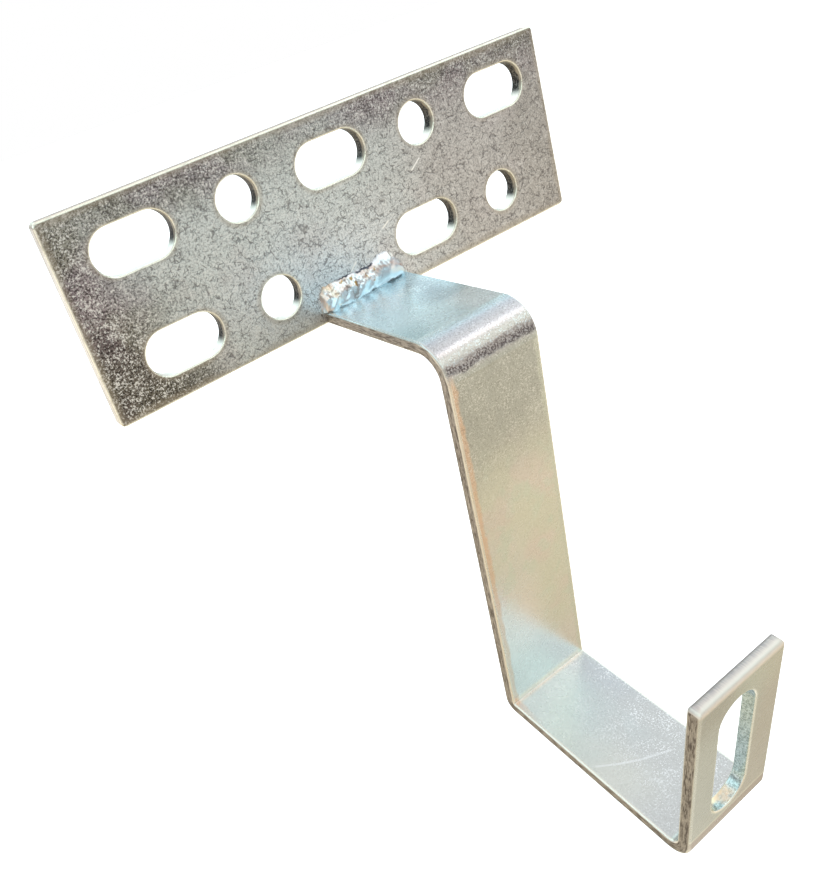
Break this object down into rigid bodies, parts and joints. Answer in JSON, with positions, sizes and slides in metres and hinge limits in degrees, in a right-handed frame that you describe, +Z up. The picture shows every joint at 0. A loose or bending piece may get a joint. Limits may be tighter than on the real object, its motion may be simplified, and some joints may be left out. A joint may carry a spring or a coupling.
{
  "type": "roof bracket",
  "caption": "Zinc-plated steel roof bracket: a punched base plate with a bent flat-bar hook arm welded to its face, ending in an upturned flange with a long slot.",
  "frame": {"origin": "centre of the base plate's rear face, the face that lies against the roof timber or wall", "axes": "+Z up across the plate, +X along the plate, +Y into the surface it is screwed to; the hook arm reaches out along -Y and drops along -Z"},
  "size_m": [0.16, 0.1136, 0.1883],
  "materials": {
    "plated_plate": "bright zinc plating over mottled hot-rolled plate, with a faint straw and violet tint near the edges",
    "plated_bar": "blue-white zinc plating over smooth flat bar, iridescent straw, green and pink",
    "plated_weld": "bright zinc plating over a rough weld bead"
  },
  "bodies": {
    "root": {"base_plate": "plated_plate", "hook_arm": "plated_bar", "weld_upper": "plated_weld", "weld_lower": "plated_weld"}
  },
  "joints": []
}
